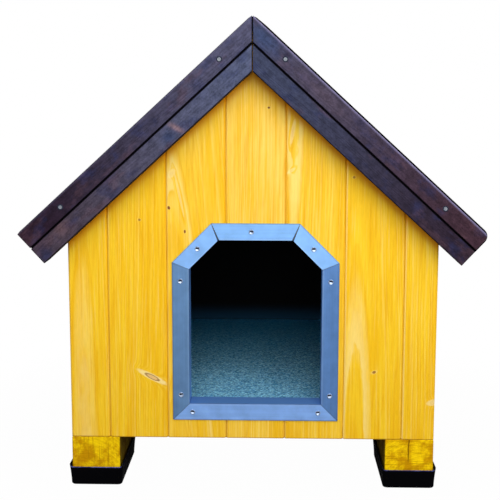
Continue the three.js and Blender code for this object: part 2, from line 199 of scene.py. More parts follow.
def wood_figure():
    """Growth rings of a log as a sawn face cuts them.

    A point's age is its distance from the pith, plus the taper times its height, over the ring width,
    with a slow sway along the length. Late wood darkens through each ring and stops sharply; Pale is
    its early wood. Accent picks out the one ring at a chosen distance. Fibre, Line and Streak are noise
    drawn out along the grain, from the finest to the broadest.
    """
    inputs = {"Position": (0.0, 0.0, 0.0), "Pith": (0.0, 0.05, 0.0), "Taper": 0.02, "Ring Width": 0.006,
              "Sway": 0.012, "Warp": 0.0, "Accent At": -1.0, "Accent Width": 0.006, "Seed": 0.0}
    outputs = ["Late", "Pale", "Accent", "Fibre", "Line", "Streak"]
    graph, given, result = node_group("Wood figure", inputs, outputs)
    x, y, z = graph.split(given["Position"])
    shifted = graph.join(graph.times(given["Seed"], 3.7), given["Seed"], graph.times(z, 2.2))
    sway_x, sway_y, _ = graph.split(graph.noise(shifted, detail=1.0, output="Color"))
    pith_x, pith_y, _ = graph.split(given["Pith"])
    swayed_x = graph.times(graph.less(sway_x, 0.5), given["Sway"], 2.0)
    swayed_y = graph.times(graph.less(sway_y, 0.5), given["Sway"], 2.0)
    off_x = graph.add(graph.less(x, pith_x), swayed_x)
    off_y = graph.add(y, pith_y, swayed_y)
    off = graph.math("SQRT", graph.add(graph.times(off_x, off_x), graph.times(off_y, off_y)))
    tremble_at = graph.vector("ADD", given["Position"], shifted)
    tremble = graph.spread(graph.noise(tremble_at, (60, 60, 5), detail=2.0), -1.1 * MM, 1.1 * MM)
    distance = graph.add(off, graph.times(given["Taper"], z), given["Warp"], tremble)
    even = graph.math("DIVIDE", distance, given["Ring Width"])
    uneven = graph.noise(graph.join(even, given["Seed"], 0.0), (0.37, 1, 1), detail=1.0)
    age = graph.add(even, graph.times(uneven, 3.2), 40.0)
    year = graph.math("FLOOR", age)
    part = graph.math("FRACT", age)
    rise = graph.smooth(part, 0.25, 0.88)
    fall = graph.smooth(part, 1.0, 0.93)
    strength = graph.spread(graph.chance(graph.add(year, given["Seed"])), 0.25, 1.0)
    graph.feed(result["Late"], graph.times(rise, fall, strength))
    early = graph.times(graph.smooth(part, 0.0, 0.25), graph.smooth(part, 0.75, 0.4))
    fair = graph.smooth(graph.chance(graph.add(year, graph.times(given["Seed"], 2.3), 7.0)), 0.3, 1.0)
    graph.feed(result["Pale"], graph.times(early, fair))
    inside = graph.less(distance, given["Accent At"])
    far = graph.math("DIVIDE", inside, given["Accent Width"])
    ragged = graph.add(far, graph.spread(graph.noise(tremble_at, (110, 110, 9), detail=3.0), -0.7, 0.7))
    band = graph.times(graph.smooth(ragged, -1.15, -0.85), graph.smooth(ragged, 1.6, -0.6))
    graph.feed(result["Accent"], band)
    graph.feed(result["Fibre"], graph.noise(tremble_at, (700, 700, 16), detail=2.0, roughness=0.6))
    graph.feed(result["Line"], graph.noise(tremble_at, (270, 270, 2.2), detail=3.0, roughness=0.6))
    graph.feed(result["Streak"], graph.noise(tremble_at, (52, 52, 1.5), detail=3.0, roughness=0.55))
    return graph.tree


def knot_mark():
    """A knot on a sawn face: an ellipse turned by a tilt. Distance counts in its own half sizes.

    Gives its eye, the dark rim round it, a halo, a soft cloud that fades outwards, and the warp of the
    rings round it.
    """
    inputs = {"Position": (0.0, 0.0, 0.0), "Across": 0.0, "Up": 0.0, "Half Width": 0.006,
              "Half Height": 0.006, "Tilt": 0.0}
    graph, given, result = node_group("Knot", inputs, ["Warp", "Eye", "Rim", "Halo", "Cloud"])
    x, _, z = graph.split(given["Position"])
    right = graph.less(x, given["Across"])
    above = graph.less(z, given["Up"])
    cosine, sine = graph.math("COSINE", given["Tilt"]), graph.math("SINE", given["Tilt"])
    along = graph.add(graph.times(right, cosine), graph.times(above, sine))
    over = graph.less(graph.times(above, cosine), graph.times(right, sine))
    u = graph.math("DIVIDE", along, given["Half Width"])
    v = graph.math("DIVIDE", over, given["Half Height"])
    far = graph.math("SQRT", graph.add(graph.times(u, u), graph.times(v, v)))
    rough = graph.spread(graph.noise(given["Position"], (220, 220, 220), detail=2.0), -0.16, 0.16)
    edge = graph.add(far, rough)
    graph.feed(result["Eye"], graph.smooth(edge, 1.0, 0.7))
    graph.feed(result["Rim"], graph.times(graph.smooth(edge, 0.62, 0.95), graph.smooth(edge, 1.3, 1.0)))
    low = graph.math("DIVIDE", over, graph.times(given["Half Height"], 0.8))
    lens = graph.math("SQRT", graph.add(graph.times(u, u, 0.72), graph.times(low, low)))
    graph.feed(result["Halo"], graph.smooth(graph.add(lens, graph.times(rough, 2.0)), 2.3, 1.5))
    ragged = graph.add(far, graph.times(rough, 2.5))
    graph.feed(result["Cloud"], graph.math("EXPONENT", graph.times(ragged, ragged, -0.9)))
    nearness = graph.math("EXPONENT", graph.times(far, far, -0.16))
    graph.feed(result["Warp"], graph.times(nearness, given["Half Width"], -0.9))
    return graph.tree


def speckle():
    """Small grains packed at random: each one's tone and rounded height, and broad patches over them."""
    inputs = {"Position": (0.0, 0.0, 0.0), "Grain": 0.001, "Seed": 0.0}
    graph, given, result = node_group("Speckle", inputs, ["Tone", "Height", "Patch"])
    density = graph.math("DIVIDE", 1.0, given["Grain"])
    scaled = graph.node("ShaderNodeVectorMath", {0: given["Position"]}, operation="SCALE")
    graph.feed(scaled.inputs["Scale"], density)
    moved = graph.vector("ADD", scaled.outputs[0], graph.join(given["Seed"], given["Seed"], 0.0))
    cells = graph.node("ShaderNodeTexVoronoi", {"Vector": moved, "Scale": 1.0})
    graph.feed(result["Tone"], graph.split(cells.outputs["Color"])[0])
    graph.feed(result["Height"], graph.smooth(cells.outputs["Distance"], 0.75, 0.0))
    graph.feed(result["Patch"], graph.noise(given["Position"], (9, 9, 9), detail=4.0, roughness=0.6))
    return graph.tree


def mitre_lines():
    """Distance to the open mitres of the head and to the tight ones below, and to the outer edge.

    The doorway is folded along its middle. Each mitre is where a point lies as far in from one edge as
    from the next.
    """
    outputs = ["Open Mitre", "Tight Mitre", "Inset"]
    graph, given, result = node_group("Doorway edges", {"Position": (0.0, 0.0, 0.0)}, outputs)
    x, _, z = graph.split(given["Position"])
    out = graph.absolute(graph.less(x, DOOR_CENTRE))
    slant = math.sqrt(0.5)
    edges = {  # outward direction and its reach
        "sill": ((0.0, -1.0), -DOOR_BOTTOM),
        "side": ((1.0, 0.0), DOOR_HALF),
        "upper": ((slant, slant), (DOOR_HALF + DOOR_TOP - DOOR_CHAMFER) * slant),
        "head": ((0.0, 1.0), DOOR_TOP),
    }
    insets = {}
    for name, ((right, up), reach) in edges.items():
        insets[name] = graph.less(reach, graph.add(graph.times(out, right), graph.times(z, up)))
    inset = insets["sill"]
    for name in ("side", "upper", "head"):
        inset = graph.math("MINIMUM", inset, insets[name])
    graph.feed(result["Inset"], inset)

    def mitre(first, second):
        turn = math.acos(np.dot(edges[first][0], edges[second][0]))
        apart = graph.absolute(graph.less(insets[first], insets[second]))
        return graph.times(apart, 1 / (2 * math.sin(turn / 2)))

    graph.feed(result["Open Mitre"], mitre("upper", "head"))
    graph.feed(result["Tight Mitre"], graph.math("MINIMUM", mitre("sill", "side"), mitre("side", "upper")))
    return graph.tree


FIGURE = wood_figure()
KNOT = knot_mark()
SPECKLE = speckle()
DOORWAY = mitre_lines()


def material(name, roughness=0.5, metallic=0.0, specular=0.5):
    """A material with its plain values set on the shader: graph, Principled shader, object coordinates."""
    made = bpy.data.materials.new(name)
    made.use_nodes = True
    graph = Graph(made.node_tree)
    shader = made.node_tree.nodes["Principled BSDF"]
    shader.inputs["Roughness"].default_value = roughness
    shader.inputs["Metallic"].default_value = metallic
    shader.inputs["Specular IOR Level"].default_value = specular
    place = graph.node("ShaderNodeTexCoord").outputs["Object"]
    return made, graph, shader, place


def paint(graph, shader, colour, roughness=None, relief=None, depth=0.0):
    """Sets the colour and, where given, a roughness and a relief whose depth is in metres."""
    graph.feed(shader.inputs["Base Color"], colour)
    if roughness is not None:
        graph.feed(shader.inputs["Roughness"], roughness)
    if relief is not None:
        inputs = {"Height": relief, "Distance": depth, "Strength": 1.0}
        graph.feed(shader.inputs["Normal"], graph.node("ShaderNodeBump", inputs).outputs[0])


def dress(name, made):
    """Gives a CAD node its material."""
    nodes[name].data.materials.clear()
    nodes[name].data.materials.append(made)


def slope_position(graph, place):
    """Where a point lies on its slope: out of the roof, along the ridge, and down from the apex."""
    x, y, z = graph.split(place)
    out = graph.absolute(x)
    fallen = graph.less(APEX, z)
    down = graph.add(graph.times(out, math.cos(PITCH)), graph.times(fallen, math.sin(PITCH)))
    rise = graph.less(graph.times(out, math.sin(PITCH)), graph.times(fallen, math.cos(PITCH)))
    return graph.join(rise, y, down)


# ---- Boards --------------------------------------------------------------------------------------------

GOLD = srgb(252, 206, 36)
AMBER = srgb(246, 190, 10)
PALE_GOLD = srgb(255, 226, 132)
LATE_GOLD = srgb(232, 164, 4)
KNOT_BROWN = srgb(132, 74, 34)
KNOT_EYE = srgb(232, 190, 120)
KNOT_HALO = srgb(255, 232, 160)
PIN_KNOT = 4 * MM  # half width below which a knot is dark all over
JOINT_BROWN = srgb(212, 156, 8)
WALL_FOOT_PAINTED_SHADE = 0.90  # how much darker the foot of the walls is painted: painted shade
LOWER_END_BROWN = srgb(150, 98, 12)  # darker brown along the boards' lower ends

PAINTED_SHADE_REACH = 24 * MM  # how far below the rafters the boards get painted shade
PAINTED_SHADE_AMBER = srgb(232, 150, 0)

# Directions of each wall as seen from outside: to the right, and out of the wall.
WALLS = {
    "front": ((1, 0, 0), (0, -1, 0)),
    "back": ((-1, 0, 0), (0, 1, 0)),
    "left": ((0, -1, 0), (-1, 0, 0)),
    "right": ((0, 1, 0), (1, 0, 0)),
}

# How each front board was sawn: the pith's place across the house and behind the board's face, taper,
# ring width, how strongly the late wood shows, and a place (across, up) that the pale ring runs through.
FRONT_FIGURE = {
    "front_board_1": (-0.326, 0.050, 0.020, 0.0046, 0.30, (-0.326, 0.252)),
    "front_board_2": (-0.130, 0.090, 0.012, 0.0042, 0.34, None),
    "front_board_3": (-0.149, 0.045, 0.078, 0.0062, 0.40, (-0.149, 0.617)),
    "front_board_4_upper": (0.100, 0.060, 0.004, 0.0038, 0.36, None),
    "front_board_4_lower": (0.100, 0.060, 0.004, 0.0038, 0.36, None),
    "front_board_5": (0.079, 0.020, -0.014, 0.0052, 0.40, (0.079, 0.648)),
    "front_board_6": (0.1975, 0.040, 0.039, 0.0064, 0.30, (0.1975, 0.300)),
    "front_board_7": (0.220, 0.050, 0.010, 0.0040, 0.42, None),
}

# Front boards whose glaze came out paler.
FRONT_TONES = {
    "front_board_3": srgb(252, 206, 60),
    "front_board_4_lower": srgb(252, 206, 66),
    "front_board_4_upper": srgb(253, 210, 88),
    "front_board_5": srgb(253, 208, 58),
}

# How far the glaze is worn off a board's left corner, beside the joint.
USUAL_WEAR = 0.15
WORN_CORNERS = {"front_board_3": 0.35, "front_board_6": 0.8, "front_board_7": 0.7}

# Knots of the front: across the house, height, half width, half height, tilt in degrees, how dark its
# rim is and how pale the wood round it. Those with no dark rim are pale flecks beside grown-over knots.
FRONT_KNOTS = {
    "front_board_2": [(-0.193, 0.218, 0.0140, 0.0038, -27, 0.75, 0.8),
                      (-0.214, 0.524, 0.0022, 0.0022, 0, 0.5, 0.1)],
    "front_board_3": [(-0.158, 0.547, 0.0022, 0.0030, 20, 1.0, 0.1),
                      (-0.128, 0.502, 0.0016, 0.0030, 0, 0.9, 0.1),
                      (-0.152, 0.612, 0.0045, 0.0036, 60, 0.0, 0.45),
                      (-0.138, 0.572, 0.0200, 0.0016, -78, 0.0, 0.40)],
    "front_board_4_upper": [(0.030, 0.735, 0.0020, 0.0018, 0, 0.9, 0.1)],
    "front_board_5": [(0.0745, 0.689, 0.0110, 0.0022, 80, 0.0, 0.45),
                      (0.0725, 0.618, 0.0042, 0.0020, 35, 0.0, 0.50)],
    "front_board_6": [(0.234, 0.231, 0.0032, 0.0024, 20, 0.6, 0.25),
                      (0.190, 0.606, 0.0022, 0.0022, 0, 0.5, 0.1)],
    "front_board_7": [(0.349, 0.172, 0.0060, 0.0040, 10, 0.10, 0.6)],
}


def board_glaze(name, wall, middle, half_width, figure, knots, seed, tone):
    """Yellow glaze over spruce. The board's own place is across it, behind its face, and up it."""
    right, out = WALLS[wall]
    made, graph, shader, place = material(name + "_glaze", specular=0.16)
    height = graph.split(place)[2]
    across = graph.less(graph.dot(place, right), middle)
    low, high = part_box(wall + "_board_3")
    face = max(low.dot(out), high.dot(out))
    behind = graph.less(face, graph.dot(place, out))
    position = graph.join(across, behind, height)

    marks = []
    warp = 0.0
    for knot_across, up, wide, tall, tilt, dark, halo in knots:
        mark = graph.group(KNOT, Position=position, Across=knot_across - middle, Up=up, Half_Width=wide,
                           Half_Height=tall, Tilt=math.radians(tilt))
        marks.append((mark, dark, halo, KNOT_EYE if wide > PIN_KNOT else KNOT_BROWN))
        warp = graph.add(warp, mark["Warp"])
    pith, depth, taper, ring, late, accent = figure
    accent_at = -1.0
    if accent:
        accent_at = math.hypot(accent[0] - pith, depth) + taper * accent[1]
    wood = graph.group(FIGURE, Position=position, Pith=(pith - middle, depth, 0.0), Taper=taper,
                       Ring_Width=ring, Warp=warp, Accent_At=accent_at, Accent_Width=2.6 * MM,
                       Sway=6 * MM if accent else 16 * MM, Seed=seed)

    colour = graph.mix(graph.times(graph.smooth(wood["Streak"], 0.32, 0.70), 0.85), tone, AMBER)
    colour = graph.cover(colour, PALE_GOLD, wood["Pale"], 0.22)
    colour = graph.cover(colour, LATE_GOLD, graph.smooth(wood["Line"], 0.50, 0.34), 0.52)
    colour = graph.cover(colour, PALE_GOLD, graph.smooth(wood["Line"], 0.54, 0.70), 0.30)
    colour = graph.cover(colour, LATE_GOLD, wood["Late"], late)
    colour = graph.cover(colour, PALE_GOLD, wood["Accent"], 0.65)
    colour = graph.shade(colour, graph.spread(wood["Fibre"], 0.88, 1.12))
    for mark, dark, halo, eye in marks:
        colour = graph.cover(colour, KNOT_HALO, mark["Halo"], halo)
        colour = graph.cover(colour, eye, mark["Eye"], min(1.0, dark + 0.2))
        colour = graph.cover(colour, KNOT_BROWN, mark["Rim"], dark)
    to_joint = graph.less(half_width, graph.absolute(across))
    beside, sunk = graph.smooth(to_joint, 1.6 * MM, 0.0), graph.smooth(behind, 1.2 * MM, 2.8 * MM)
    in_joint = graph.times(beside, sunk)
    colour = graph.cover(colour, JOINT_BROWN, in_joint, 0.5)
    from_left = graph.add(across, half_width)
    past_corner = graph.smooth(from_left, 0.6 * MM, 1.4 * MM)
    pale_edge = graph.times(past_corner, graph.smooth(from_left, 4 * MM, 2.4 * MM))
    colour = graph.cover(colour, PALE_GOLD, pale_edge, WORN_CORNERS.get(name, USUAL_WEAR))
    # Painted shade: each board darker towards the foot of the wall.
    colour = graph.shade(colour, graph.spread(graph.smooth(height, 0.08, 0.60), WALL_FOOT_PAINTED_SHADE, 1.0))
    lower_end = graph.smooth(height, WALL_BOTTOM + 2.4 * MM, WALL_BOTTOM + 0.6 * MM)
    colour = graph.cover(colour, LOWER_END_BROWN, lower_end, 0.7)
    if wall in ("front", "back"):
        rise = graph.split(slope_position(graph, place))[0]
        # Painted shade under the rafters: an amber band below their lower edge, fainter where the rafters
        # cover it.
        painted_shade = graph.smooth(rise, RAFTER_BOTTOM - PAINTED_SHADE_REACH, RAFTER_BOTTOM)
        covered = graph.smooth(rise, RAFTER_BOTTOM + 2 * MM, RAFTER_BOTTOM + 14 * MM)
        share = graph.times(painted_shade, painted_shade, graph.spread(covered, 1.0, 0.35))
        colour = graph.mix(share, colour, PAINTED_SHADE_AMBER)

    relief = graph.add(graph.times(wood["Fibre"], 0.45), graph.times(wood["Late"], 0.55))
    paint(graph, shader, colour, graph.spread(wood["Fibre"], 0.42, 0.62), relief, 0.18 * MM)
    return made


def drawn_figure(chance, middle):
    """How a board out of the photograph was sawn: flat sawn with arches, or nearer to the quarter."""
    pith = middle + chance.uniform(-0.09, 0.09)
    depth = chance.uniform(0.02, 0.10)
    taper = chance.uniform(0.008, 0.05) * chance.choice([-1, 1])
    accent = (pith, chance.uniform(0.2, 0.55)) if abs(pith - middle) < 0.05 else None
    return pith, depth, taper, chance.uniform(0.004, 0.0065), chance.uniform(0.3, 0.42), accent


def drawn_knots(chance, middle, half_width, low, high):
    """Up to three knots of a board out of the photograph, clear of its edges and ends."""
    knots = []
    for _ in range(chance.integers(0, 4)):
        wide = chance.uniform(0.002, 0.011)
        across, up = chance.uniform(-0.75, 0.75) * half_width, chance.uniform(low + 0.04, high - 0.05)
        knots.append((middle + across, up, wide, wide * chance.uniform(0.4, 0.9), chance.uniform(-35, 35),
                      chance.uniform(0.4, 0.9), chance.uniform(0.1, 0.6)))
    return knots


def dress_walls():
    """Every board of the four walls in its own piece of wood."""
    chance = np.random.default_rng(7)
    for wall, (right, _) in WALLS.items():
        names = sorted(n for n in nodes if n.startswith(wall + "_board"))
        last = max(int(n.split("_")[2]) for n in names)
        for index, name in enumerate(names):
            low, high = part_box(name)
            start, end = sorted([low.dot(right), high.dot(right)])
            number = int(name.split("_")[2])
            if number < last:
                end -= TONGUE
            middle, half_width = (start + end) / 2, (end - start) / 2
            if wall == "front":
                figure, knots = FRONT_FIGURE[name], FRONT_KNOTS.get(name, [])
            else:
                figure = drawn_figure(chance, middle)
                knots = drawn_knots(chance, middle, half_width, low.z, high.z)
            seed = 3.1 * number if name.startswith("front_board_4") else 3.1 * number + 17.0 * index
            tone = FRONT_TONES.get(name, GOLD)
            dress(name, board_glaze(name, wall, middle, half_width, figure, knots, seed, tone))


# ---- Other finishes ------------------------------------------------------------------------------------

# Walnut stain.
STAIN_BLUE = srgb(38, 46, 84)
STAIN_BROWN = srgb(92, 66, 74)
STAIN_LATE = srgb(24, 18, 28)
# Painted highlight along the roof members' upper outer corners
STAIN_PAINTED_HIGHLIGHT = srgb(128, 122, 158)
# Painted shade along the roof members' lower edges and beside the shadow gap, and a dark line at their
# ends
STAIN_PAINTED_SHADE = srgb(10, 6, 13)

# Unfinished spruce, and painted shade at the deck's ends.
SPRUCE_PALE = srgb(226, 196, 146)
SPRUCE_STREAK = srgb(208, 170, 116)
SPRUCE_LATE = srgb(178, 130, 78)
SPRUCE_PAINTED_SHADE = srgb(22, 18, 22)

# Film of the inner panels, and painted light on it: teal bounced off the carpet.
FILM_BLACK = srgb(6, 6, 7)
FILM_WORN = srgb(11, 10, 11)
CARPET_PAINTED_BOUNCE = srgb(30, 78, 108)

# Yellow stain of the feet, thin and full, and what shows through it.
FOOT_THIN = srgb(204, 148, 0)
FOOT_FULL = srgb(255, 214, 10)
FOOT_PORE = srgb(170, 122, 0)
FOOT_SAW_MARK = srgb(170, 120, 0)
FOOT_GRAIN = srgb(160, 108, 0)
FOOT_CRACK = srgb(92, 62, 0)
# Painted shade of the feet's inner faces, under the house
FOOT_PAINTED_SHADE = srgb(52, 42, 8)

# Aluminium: painted rim shade, painted bend highlight, oxide film, painted gap shade in the mitres.
ANGLE_RIM_SHADE = srgb(52, 74, 104)
ANGLE_BEND_HIGHLIGHT = srgb(190, 214, 244)
# The oxide film's blue tint is painted reflection.
ANGLE_OXIDE_AND_REFLECTION = srgb(98, 154, 230)
# Painted shade of the open mitres' gaps, and dark seams of the tight ones
ANGLE_GAP_SHADE_AND_SEAM = srgb(20, 28, 46)

# Felt.
MINERAL_DARK = srgb(16, 16, 18)
MINERAL_LIGHT = srgb(60, 61, 64)
MINERAL_DUST = srgb(70, 70, 72)
BITUMEN = srgb(3, 3, 5)

# Carpet.
TEAL = srgb(94, 168, 214)
TEAL_PALE = srgb(172, 238, 255)
TEAL_DEEP = srgb(38, 100, 150)
# Painted shade: the carpet's bluer teal towards the back of the house
TEAL_PAINTED_SHADE = srgb(16, 170, 234)

# Shoes.
SHOE_BLACK = srgb(1, 1, 3)
SHOE_PATCH = srgb(5, 5, 8)
# Painted highlight of the shoes' low rim
LIP_HIGHLIGHT_DEEP = srgb(34, 36, 84)
LIP_HIGHLIGHT_PALE = srgb(76, 82, 146)
LIP_DARK = srgb(10, 11, 20)

# Screws.
DOOR_STEEL = srgb(176, 194, 220)
LATH_STEEL = srgb(136, 140, 146)
DULL_ZINC = srgb(110, 120, 138)
# Painted shade in the screws' recesses and round the lath screws' heads
RECESS_SHADE_DARK = srgb(16, 20, 32)
RECESS_SHADE_LIGHT = srgb(52, 60, 78)

# Each roof member's colour at the apex and at the eave, and how strong the painted highlight on its upper
# outer corner is.
STAINS = {
    "left_lath": (srgb(76, 76, 100), srgb(38, 24, 38), 0.1),
    "left_rafter": (srgb(78, 85, 112), srgb(68, 58, 70), 0.1),
    "right_lath": (srgb(62, 64, 86), srgb(60, 40, 50), 0.7),
    "right_rafter": (srgb(58, 64, 88), srgb(44, 33, 46), 0.1),
}

# Marks on the front members: out of the roof, down the slope, half sizes along both, tilt in degrees,
# colour and strength.
STAIN_MARKS = {
    "front_left_rafter": [(-0.0555, 0.2385, 0.0150, 0.0045, 18, srgb(144, 114, 116), 0.7),
                          (-0.0580, 0.2600, 0.0110, 0.0130, 0, srgb(34, 54, 92), 0.6),
                          (-0.0490, 0.5220, 0.0120, 0.0150, 0, srgb(104, 80, 84), 0.6),
                          (-0.0600, 0.5760, 0.0130, 0.0120, 0, srgb(38, 42, 72), 0.7)],
    "front_right_lath": [(-0.0100, 0.0930, 0.0050, 0.0060, 0, srgb(20, 22, 44), 0.9),
                         (-0.0170, 0.0450, 0.0150, 0.0350, 0, srgb(52, 72, 112), 0.6),
                         (-0.0175, 0.1800, 0.0170, 0.0800, 0, srgb(86, 72, 86), 0.6)],
}


def walnut_stain(name, seed):
    """Dark stained spruce, bluer towards the apex and browner towards the eave.

    It is blotched, with a painted highlight along its upper outer corner, and painted shade along its
    lower edge and beside the shadow gap, with a dark line painted along its end.
    """
    apex_tone, eave_tone, highlight_strength = STAINS[name.split("_", 1)[1]]
    made, graph, shader, place = material(name + "_stain", specular=0.05)
    position = slope_position(graph, place)
    rise, along_ridge, down = graph.split(position)
    own = graph.vector("ADD", position, (0.0, 0.0, seed * 1.7))
    wood = graph.group(FIGURE, Position=position, Pith=(0.03, 0.40, 0.0), Taper=0.02, Ring_Width=5 * MM,
                       Seed=float(seed) * 2.3)
    colour = graph.mix(graph.smooth(down, 0.0, 0.58), apex_tone, eave_tone)
    blue = graph.smooth(graph.noise(own, (34, 34, 22), detail=4.0, roughness=0.6), 0.50, 0.66)
    colour = graph.cover(colour, STAIN_BLUE, blue, 0.42)
    brown = graph.smooth(graph.noise(own, (28, 28, 14), detail=4.0, roughness=0.6), 0.48, 0.34)
    colour = graph.cover(colour, STAIN_BROWN, brown, 0.30)
    for across, along, half_across, half_along, tilt, tone, strength in STAIN_MARKS.get(name, []):
        mark = graph.group(KNOT, Position=graph.join(rise, 0.0, down), Across=across, Up=along,
                           Half_Width=half_across, Half_Height=half_along, Tilt=math.radians(tilt))
        colour = graph.cover(colour, tone, mark["Cloud"], strength)
    cloud = graph.noise(own, (90, 90, 60), detail=4.0, roughness=0.65)
    grit = graph.noise(own, (420, 420, 300), detail=2.0, roughness=0.6)
    clouded = graph.spread(graph.smooth(cloud, 0.30, 0.70), 0.70, 1.27)
    colour = graph.shade(colour, graph.add(clouded, graph.spread(grit, -0.38, 0.38)))
    colour = graph.cover(colour, STAIN_LATE, wood["Late"], 0.25)
    # Painted highlight along the upper outer corner, strongest on the right lath.
    corner = graph.smooth(graph.absolute(along_ridge), GABLE_FACE - 3 * MM, GABLE_FACE - 1 * MM)
    upper = graph.times(graph.smooth(rise, -4.5 * MM, -1.0 * MM), corner)
    pale_edge = graph.times(upper, graph.spread(cloud, 0.6, 1.4), highlight_strength)
    colour = graph.mix(pale_edge, colour, STAIN_PAINTED_HIGHLIGHT)
    # Painted shade along the lower edge and beside the shadow gap, and a dark line painted along the end.
    lower = graph.smooth(rise, RAFTER_BOTTOM + 2.4 * MM, RAFTER_BOTTOM + 0.8 * MM)
    from_gap = graph.absolute(graph.add(rise, LATH_WIDTH + SHADOW_GAP / 2))
    painted_dark_edges = graph.math("MAXIMUM", lower, graph.smooth(from_gap, 2.9 * MM, 1.9 * MM))
    painted_dark_edges = graph.math("MAXIMUM", painted_dark_edges, graph.smooth(down, SLOPE - 1.8 * MM, SLOPE - 0.4 * MM))
    colour = graph.cover(colour, STAIN_PAINTED_SHADE, painted_dark_edges, 0.9)
    relief = graph.add(wood["Fibre"], wood["Late"])
    paint(graph, shader, colour, graph.spread(wood["Fibre"], 0.45, 0.70), relief, 0.2 * MM)
    return made


def plain_spruce():
    """Unfinished spruce of the deck and the floor panel, its boards laid along the ridge."""
    made, graph, shader, place = material("plain_spruce", roughness=0.75, specular=0.25)
    y = graph.split(place)[1]
    rise, _, down = graph.split(slope_position(graph, place))
    counted = graph.math("DIVIDE", graph.less(SLOPE, down), BOARD_COVER)
    board = graph.math("FLOOR", counted)
    across = graph.times(graph.less(graph.math("FRACT", counted), 0.5), BOARD_COVER)
    wood = graph.group(FIGURE, Position=graph.join(across, rise, y), Pith=(0.02, 0.05, 0.0), Taper=0.02,
                       Ring_Width=5 * MM, Seed=graph.times(board, 1.7))
    colour = graph.mix(wood["Streak"], SPRUCE_PALE, SPRUCE_STREAK)
    colour = graph.cover(colour, SPRUCE_LATE, wood["Late"], 0.55)
    # Painted shade: the deck's ends painted dark all through.
    shaded_end = graph.smooth(graph.absolute(y), DECK_PAINTED_SHADE_FROM - 2 * MM, DECK_PAINTED_SHADE_FROM)
    colour = graph.mix(shaded_end, colour, SPRUCE_PAINTED_SHADE)
    paint(graph, shader, colour, relief=wood["Fibre"], depth=0.2 * MM)
    return made


def film_ply():
    """Dark film-faced plywood of the inner panels, with painted light along its foot: teal bounced off the
    carpet.
    """
    made, graph, shader, place = material("film_ply", specular=0.06)
    patch = graph.noise(place, (6, 6, 6), detail=4.0)
    mesh = graph.noise(place, (420, 420, 420), detail=1.0)
    colour = graph.mix(graph.smooth(patch, 0.3, 0.7), FILM_BLACK, FILM_WORN)
    carpet_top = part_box("carpet")[1].z
    # Painted light: the carpet's teal bounced along the panels' foot.
    painted_bounce = graph.smooth(graph.split(place)[2], carpet_top + 55 * MM, carpet_top)
    colour = graph.mix(graph.times(painted_bounce, painted_bounce, 0.9), colour, CARPET_PAINTED_BOUNCE)
    paint(graph, shader, colour, graph.spread(patch, 0.5, 0.7), mesh, 0.1 * MM)
    return made


def sawn_foot():
    """Rough-sawn timber under thin yellow stain: rings on the ends, saw marks, a drying crack.

    The faces under the house get painted shade.
    """
    made, graph, shader, place = material("sawn_foot", specular=0.05)
    x, y, z = graph.split(place)
    out = graph.absolute(x)
    side = graph.math("GREATER_THAN", x, 0.0)
    low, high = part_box("front_right_foot")
    across = graph.less(out, (low.x + high.x) / 2)
    wood = graph.group(FIGURE, Position=graph.join(across, z, y), Pith=(0.045, 0.03, 0.0), Taper=0.02,
                       Ring_Width=4.5 * MM, Seed=graph.times(side, 5.0))
    elsewhere = graph.vector("ADD", place, (3.0, 0.0, 0.0))
    blotch = graph.noise(elsewhere, (34, 34, 30), detail=5.0, roughness=0.65)
    fine = graph.noise(place, (160, 160, 90), detail=4.0, roughness=0.7)
    saw = graph.noise(place, (22, 22, 330), detail=2.0, roughness=0.6)
    colour = graph.mix(graph.smooth(blotch, 0.38, 0.60), FOOT_THIN, FOOT_FULL)
    colour = graph.cover(colour, FOOT_PORE, graph.smooth(fine, 0.48, 0.78), 0.5)
    colour = graph.mix(graph.times(graph.smooth(saw, 0.45, 0.72), 0.65, side), colour, FOOT_SAW_MARK)
    colour = graph.cover(colour, FOOT_GRAIN, wood["Late"], 0.30)
    grain = graph.smooth(graph.noise(elsewhere, (230, 230, 12), detail=3.0, roughness=0.6), 0.50, 0.72)
    colour = graph.mix(graph.times(grain, graph.less(1.0, side), 0.6), colour, FOOT_GRAIN)
    # Painted shade: the left foot darker than the right.
    colour = graph.shade(colour, graph.spread(side, 0.93, 1.0))
    bend = graph.spread(graph.noise(place, (1, 1, 45), detail=2.0), -4 * MM, 4 * MM)
    crack_off = graph.absolute(graph.add(across, bend, 1 * MM))
    crack = graph.times(graph.smooth(crack_off, 2 * MM, 0.0), side, graph.smooth(z, 45 * MM, 65 * MM))
    colour = graph.cover(colour, FOOT_CRACK, crack, 0.85)
    inner_side = (low.x - high.x) / 2
    # Painted shade on the inner faces.
    under = graph.smooth(across, inner_side + 1.2 * MM, inner_side + 0.3 * MM)
    colour = graph.cover(colour, FOOT_PAINTED_SHADE, under, 0.85)
    relief = graph.less(graph.add(saw, graph.times(fine, 0.6)), crack)
    paint(graph, shader, colour, graph.spread(saw, 0.6, 0.85), relief, 0.8 * MM)
    return made


